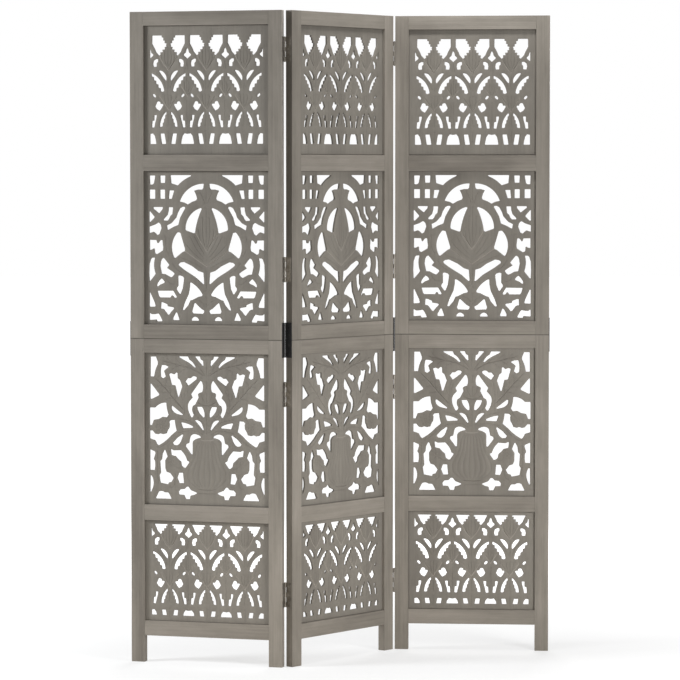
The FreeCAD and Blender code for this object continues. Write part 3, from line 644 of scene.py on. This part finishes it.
def carved_mesh(design):
    """Panel with rounded cut-outs and carving on both faces, drawn about the leaf's axis."""
    node = "left_" + design + "_fretwork"
    rim, *cuts = panel_loops(node, math.radians(TURNS["left"]))
    holes = [evened(cut) for cut in cuts]
    if design in BORDER_MAP:
        holes = [scalloped(hole, *BORDER_MAP[design]) for hole in holes]
    radii = [edge_radii(hole, i) for i, hole in enumerate(holes)]
    strokes = tapered_strokes(design)
    flat, wood, rings = wood_cells([rim, *map(set_back, holes, radii)], strokes)
    depth, tones = carved_depth(flat, strokes)
    # Painted shade round the frame's opening, standing in for the recess's shadow, added to the strokes'
    # painted tones
    tones += painted_opening_shade(flat, rim)
    count = len(flat)
    front = np.column_stack((flat[:, 0], depth - PANEL_T / 2, flat[:, 1]))
    verts = [front, front * (1, -1, 1)]
    faces = wood + [[count + i for i in reversed(cell)] for cell in wood]
    faces += band(rings[0], [count + i for i in rings[0]])
    total = 2 * count
    for hole, radius, ring in zip(holes, radii, rings[1:]):
        rows = [ring]
        for row in edge_rows(hole, radius, depth[ring]):
            verts.append(row)
            rows.append(list(range(total, total + len(row))))
            total += len(row)
        rows.append([count + i for i in ring])
        for a, b in zip(rows, rows[1:]):
            faces += band(a, b)
    base_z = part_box(node)[0].z * 1000 + TONGUE
    mesh = bpy.data.meshes.new("carved_" + design)
    mesh.from_pydata(((np.concatenate(verts) + (0, 0, base_z)) / 1000).tolist(), [], faces)
    # The carved attribute holds the painted highlight and painted shade along the strokes and round the
    # opening
    shades = np.zeros(total)
    shades[:count] = shades[count:2 * count] = tones
    mesh.attributes.new("carved", "FLOAT", "POINT").data.foreach_set("value", shades)
    mesh.validate()
    mesh.shade_smooth()
    mesh.set_sharp_from_angle(angle=math.radians(SHARP_ANGLE))
    return mesh


# Materials

class Tree:
    """Short way of writing a node tree."""

    def __init__(self, data):
        data.use_nodes = True
        self.tree = data.node_tree
        self.tree.nodes.clear()

    def add(self, kind, inputs=None, **settings):
        node = self.tree.nodes.new(kind)
        for key, value in settings.items():
            setattr(node, key, value)
        for key, value in (inputs or {}).items():
            self.put(node.inputs[key], value)
        return node

    def put(self, socket, value):
        if isinstance(value, bpy.types.NodeSocket):
            self.tree.links.new(value, socket)
        else:
            socket.default_value = value

    def math(self, operation, a, b=0.0, clamp=False):
        return self.add("ShaderNodeMath", {0: a, 1: b}, operation=operation, use_clamp=clamp).outputs[0]

    def spread(self, value, low, high):
        """value mapped so that low gives 0 and high gives 1, kept between them."""
        inputs = {"Value": value, "From Min": low, "From Max": high}
        return self.add("ShaderNodeMapRange", inputs, clamp=True).outputs["Result"]

    def mix(self, factor, a, b):
        node = self.add("ShaderNodeMix", data_type="RGBA")
        self.put(node.inputs["Factor"], factor)
        self.put(node.inputs[6], a)
        self.put(node.inputs[7], b)
        return node.outputs[2]

    def noise(self, vector, scale, detail=3.0, rough=0.55, distortion=0.0):
        inputs = {"Vector": vector, "Scale": scale, "Detail": detail, "Roughness": rough,
                  "Distortion": distortion}
        return self.add("ShaderNodeTexNoise", inputs).outputs[0]

    def grain(self, vector, stretch, *noise):
        """Noise drawn out along z."""
        return self.noise(self.placed(vector, scale=(1, 1, stretch)), *noise)

    def placed(self, vector, rotation=(0, 0, 0), scale=(1, 1, 1)):
        inputs = {"Vector": vector, "Rotation": rotation, "Scale": scale}
        return self.add("ShaderNodeMapping", inputs).outputs[0]

    def edges(self, radius):
        """0 on flat ground, towards 1 on an edge."""
        soft = self.add("ShaderNodeBevel", {"Radius": radius}, samples=6).outputs[0]
        true = self.add("ShaderNodeNewGeometry").outputs["Normal"]
        dot = self.add("ShaderNodeVectorMath", {0: soft, 1: true}, operation="DOT_PRODUCT")
        return self.math("SUBTRACT", 1.0, dot.outputs["Value"])

    def bump(self, height, strength, depth):
        inputs = {"Strength": strength, "Distance": depth, "Height": height}
        return self.add("ShaderNodeBump", inputs).outputs[0]

    def seen(self):
        """1 where the camera looks, straight or by way of gloss or glass, and 0 for light on the object."""
        path = self.add("ShaderNodeLightPath").outputs
        by_gloss = self.math("MAXIMUM", path["Is Glossy Ray"], path["Is Transmission Ray"])
        return self.math("MAXIMUM", path["Is Camera Ray"], by_gloss)


def srgb(r, g, b):
    linear = [((v / 255 + 0.055) / 1.055) ** 2.4 if v > 10 else v / 255 / 12.92 for v in (r, g, b)]
    return (*linear, 1.0)


def grain_place(t, own, turn, lying, chance):
    """Place in the wood with z along its grain, shifted by chance so that no two pieces look alike."""
    place = t.placed(own, (0, 0, -math.radians(turn)))
    if lying:
        place = t.placed(place, (0, math.pi / 2, 0))
    shift = t.add("ShaderNodeVectorMath", {0: GRAIN_SHIFT, "Scale": chance}, operation="SCALE")
    return t.add("ShaderNodeVectorMath", {0: place, 1: shift.outputs[0]}, operation="ADD").outputs[0]


def washed_color(t, level, dark, middle, light):
    ramp = t.add("ShaderNodeValToRGB", {"Fac": level})
    stops = ramp.color_ramp.elements
    stops[0].color = srgb(*dark)
    stops[1].color = srgb(*light)
    stops.new(0.5).color = srgb(*middle)
    return ramp.outputs[0]


def painted_seam_shade(t, own, wash):
    """Strength of the painted shade in the joint between the two halves of a leaf, uneven with the wash."""
    from_floor = t.add("ShaderNodeSeparateXYZ", {0: own}).outputs["Z"]
    from_seam = t.math("ABSOLUTE", t.math("SUBTRACT", from_floor, SEAM_Z))
    line = t.math("SUBTRACT", 1.0, t.spread(from_seam, *SEAM_SHADE_FADE))
    uneven = t.math("MULTIPLY", t.spread(wash, *SEAM_WASH), SEAM_UNEVEN)
    return t.math("MULTIPLY", line, t.math("ADD", SEAM_STRENGTH, uneven))


def grey_wood(name, turn, lying, tones, figure):
    """Grey-washed wood with its grain along the piece: upright, or lying for the rails."""
    # The rubbed tone serves rubbed edges and the painted highlight of carved strokes; the last tone is
    # painted shade
    dark, middle, light, pore, rubbed, painted_shade = tones
    material = bpy.data.materials.new(name)
    t = Tree(material)
    own = t.add("ShaderNodeTexCoord").outputs["Object"]
    chance = t.add("ShaderNodeObjectInfo").outputs["Random"]
    place = grain_place(t, own, turn, lying, chance)
    streak = t.grain(place, *STREAK)
    wash = t.grain(place, *WASH)
    # Wash, darker and lighter along the grain
    blend = t.math("MULTIPLY", t.math("SUBTRACT", chance, 0.5), FIGURE_CHANCE)
    for part, share in zip((t.grain(place, *BROAD), streak, wash), FIGURE_SHARES):
        blend = t.math("ADD", blend, t.math("MULTIPLY", part, share))
    level = t.spread(blend, 0.5 - FIGURE_SPAN / figure, 0.5 + FIGURE_SPAN / figure)
    color = washed_color(t, level, dark, middle, light)
    # Pores, rubbed edges, the painted highlight and painted shade along carved strokes and round the
    # openings, and the painted shade in the seam
    pores = t.spread(t.grain(place, *FIBRE), *PORE_SPAN)
    color = t.mix(t.math("MULTIPLY", pores, PORE_STRENGTH), color, srgb(*pore))
    edge = t.spread(t.edges(RUB_WIDTH), *RUB_BENDS)
    rub = t.math("MULTIPLY", edge, t.spread(wash, *RUB_WASH))
    color = t.mix(t.math("MULTIPLY", rub, RUB_STRENGTH), color, srgb(*rubbed))
    carved = t.add("ShaderNodeAttribute", attribute_name="carved").outputs["Fac"]
    # Painted highlight along carved strokes, in the tone of rubbed edges
    color = t.mix(t.math("MULTIPLY", carved, CARVED_HIGHLIGHT, True), color, srgb(*rubbed))
    # Painted shade along carved strokes and round the frame's opening
    color = t.mix(t.math("MULTIPLY", carved, -CARVED_SHADE, True), color, srgb(*painted_shade))
    # Painted shade in the seam between the two halves of a leaf
    color = t.mix(painted_seam_shade(t, own, wash), color, srgb(*SEAM_SHADE_TONE))
    rough = t.math("ADD", WOOD_ROUGH, t.math("MULTIPLY", streak, STREAK_ROUGH))
    raised = t.math("MULTIPLY", streak, STREAK_HEIGHT)
    height = t.math("SUBTRACT", raised, t.math("MULTIPLY", pores, PORE_DEPTH))
    shader = t.add("ShaderNodeBsdfPrincipled", {
        "Base Color": color, "Roughness": rough, "Normal": t.bump(height, *GRAIN_BUMP),
        "Specular IOR Level": WOOD_GLOSS})
    t.add("ShaderNodeOutputMaterial", {"Surface": shader.outputs[0]})
    return material


def worn_metal(name, dark, light, bare, metallic, rough, wear):
    """Plain or painted metal with cloudy tone, rubbed edges and fine scratches."""
    material = bpy.data.materials.new(name)
    t = Tree(material)
    place = t.add("ShaderNodeTexCoord").outputs["Object"]
    cloud = t.noise(place, *CLOUD)
    color = t.mix(t.spread(cloud, *CLOUD_SPAN), srgb(*dark), srgb(*light))
    edge = t.spread(t.edges(METAL_RUB_WIDTH), *METAL_RUB_BENDS)
    edge = t.math("MULTIPLY", edge, t.spread(cloud, *METAL_RUB_CLOUD))
    rubbed = t.math("MULTIPLY", edge, wear)
    color = t.mix(rubbed, color, srgb(*bare))
    metal = t.math("MAXIMUM", metallic, rubbed)
    uneven = t.math("MULTIPLY", t.math("SUBTRACT", cloud, 0.5), CLOUD_ROUGH)
    normal = t.bump(t.grain(place, *SCRATCH), *SCRATCH_BUMP)
    shader = t.add("ShaderNodeBsdfPrincipled", {
        "Base Color": color, "Metallic": metal, "Roughness": t.math("ADD", rough, uneven), "Normal": normal})
    t.add("ShaderNodeOutputMaterial", {"Surface": shader.outputs[0]})
    return material


# Pieces of the screen

def soften(node, width):
    """Rounds a piece's edges a little and keeps its flat faces flat to the light."""
    weld = node.modifiers.new("weld", "WELD")
    weld.merge_threshold = 1e-6
    bevel = node.modifiers.new("soft_edges", "BEVEL")
    bevel.width = width
    bevel.segments = 2
    bevel.limit_method = "ANGLE"
    bevel.angle_limit = math.radians(40)
    flat = node.modifiers.new("flat_faces", "WEIGHTED_NORMAL")
    flat.mode = "FACE_AREA"
    flat.weight = 100


def dress(start, ending, material, edge):
    """Gives a material and softened edges to the CAD nodes with that start and ending to their names."""
    for name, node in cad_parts.items():
        if name.startswith(start) and name.endswith(ending):
            node.data.materials.clear()
            node.data.materials.append(material)
            soften(node, edge)


def new_on_leaf(name, mesh, leaf, panel):
    """New piece from a mesh that is drawn about a leaf's axis, put on that leaf and riding it."""
    turn = math.radians(TURNS[leaf])
    piece = bpy.data.objects.new(name, mesh)
    bpy.context.scene.collection.objects.link(piece)
    piece.matrix_world = Matrix.Translation(leaf_axis(panel, turn)) @ Matrix.Rotation(turn, 4, "Z")
    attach(piece, leaf + "_leaf")
    return piece


def add_carvings(design, wood):
    """Carved panels of one design, the same on the three leaves."""
    mesh = carved_mesh(design)
    mesh.materials.append(wood)
    for leaf in TURNS:
        node = leaf + "_" + design + "_fretwork"
        piece = new_on_leaf(leaf + "_" + design + "_carving", mesh, leaf, node)
        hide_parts(node)


def add_lip(leaf, edge, face, metal):
    """Rim of a joining plate, a small block past the leaf's face."""
    name = leaf + ("_left" if edge < 0 else "_right") + "_plate_lip"
    corners = []
    for u in LIP_ACROSS:
        for w in LIP_DEPTH:
            for z in (-LIP_HALF_H, LIP_HALF_H):
                corners.append((edge * u / 1000, face * w / 1000, SEAM_Z + z / 1000))
    sides = [(0, 1, 3, 2), (4, 6, 7, 5), (0, 4, 5, 1), (2, 3, 7, 6), (0, 2, 6, 4), (1, 5, 7, 3)]
    if edge * face < 0:
        sides = [side[::-1] for side in sides]
    mesh = bpy.data.meshes.new(name)
    mesh.from_pydata(corners, [], sides)
    mesh.materials.append(metal)
    lip = new_on_leaf(name, mesh, leaf, leaf + "_vase_fretwork")
    soften(lip, METAL_EDGE)


# Studio: pale floor and surroundings, soft light from the sides, above, behind and low in front

def floor_white():
    """Floor that looks white, keeps the object's shadow and throws back as much light as pale paint."""
    material = bpy.data.materials.new("white_floor")
    t = Tree(material)
    place = t.add("ShaderNodeTexCoord").outputs["Object"]
    away = t.add("ShaderNodeVectorMath", {0: place}, operation="LENGTH").outputs["Value"]
    near, far = FLOOR_GLOW
    strength = t.math("ADD", near, t.math("MULTIPLY", t.spread(away, *FLOOR_GLOW_REACH), far - near))
    glow = t.add("ShaderNodeEmission", {"Color": WHITE, "Strength": strength})
    pale = t.add("ShaderNodeBsdfDiffuse", {"Color": FLOOR_SEEN})
    lit = t.add("ShaderNodeAddShader", {0: glow.outputs[0], 1: pale.outputs[0]})
    plain = t.add("ShaderNodeBsdfDiffuse", {"Color": FLOOR_BOUNCE})
    both = t.add("ShaderNodeMixShader", {0: t.seen(), 1: plain.outputs[0], 2: lit.outputs[0]})
    t.add("ShaderNodeOutputMaterial", {"Surface": both.outputs[0]})
    return material


def add_floor():
    half = FLOOR_HALF_W
    mesh = bpy.data.meshes.new("floor")
    corners = [(-half, -half, 0), (half, -half, 0), (half, half, 0), (-half, half, 0)]
    mesh.from_pydata(corners, [], [(0, 1, 2, 3)])
    mesh.materials.append(floor_white())
    floor = bpy.data.objects.new("floor", mesh)
    bpy.context.scene.collection.objects.link(floor)


def add_world():
    """White to look at, and a dim room for the light on the object."""
    world = bpy.data.worlds.new("studio")
    bpy.context.scene.world = world
    t = Tree(world)
    room = t.add("ShaderNodeBackground", {"Color": WHITE, "Strength": ROOM_LIGHT})
    backdrop = t.add("ShaderNodeBackground", {"Color": WHITE, "Strength": 1.0})
    both = t.add("ShaderNodeMixShader", {0: t.seen(), 1: room.outputs[0], 2: backdrop.outputs[0]})
    t.add("ShaderNodeOutputWorld", {"Surface": both.outputs[0]})


def add_softbox(name, place, target, size, power, spread, color):
    light = bpy.data.lights.new(name, "AREA")
    light.color = color
    light.shape = "RECTANGLE"
    light.size, light.size_y = size
    light.energy = power
    light.spread = math.radians(spread)
    lamp = bpy.data.objects.new(name, light)
    lamp.location = place
    lamp.rotation_mode = "QUATERNION"
    lamp.rotation_quaternion = (Vector(target) - Vector(place)).to_track_quat("-Z", "Y")
    lamp.visible_camera = False
    bpy.context.scene.collection.objects.link(lamp)


def add_camera():
    camera = bpy.data.cameras.new("camera")
    camera.sensor_width = CAMERA_SENSOR
    camera.lens = CAMERA_LENS
    camera.clip_end = CAMERA_FAR
    view = bpy.data.objects.new("camera", camera)
    view.location = CAMERA_PLACE
    view.rotation_euler = (math.radians(90 - CAMERA_DOWN), 0, 0)
    bpy.context.scene.collection.objects.link(view)
    bpy.context.scene.camera = view


for leaf, degrees in TURNS.items():
    upright = grey_wood(leaf + "_stile_wood", degrees, False, FRAME_TONES, FRAME_FIGURE)
    lying = grey_wood(leaf + "_rail_wood", degrees, True, FRAME_TONES, FRAME_FIGURE)
    dress(leaf, "_stile", upright, WOOD_EDGE)
    dress(leaf, "_rail", lying, WOOD_EDGE)

carved_wood = grey_wood("carved_panel_wood", 0.0, False, CARVED_TONES, CARVED_FIGURE)
for design in DESIGNS:
    add_carvings(design, carved_wood)

metals = {name: worn_metal(name, *look) for name, look in METAL_LOOKS.items()}
for ending, metal in METAL_OF.items():
    dress("", ending, metals[metal], METAL_EDGE)
for leaf, edge, face in LIPS:
    add_lip(leaf, edge, face, metals["black_iron_paint"])

add_floor()
add_world()
for name, settings in SOFTBOXES.items():
    add_softbox(name, *settings)
add_camera()
bpy.context.scene.view_settings.view_transform = "Standard"
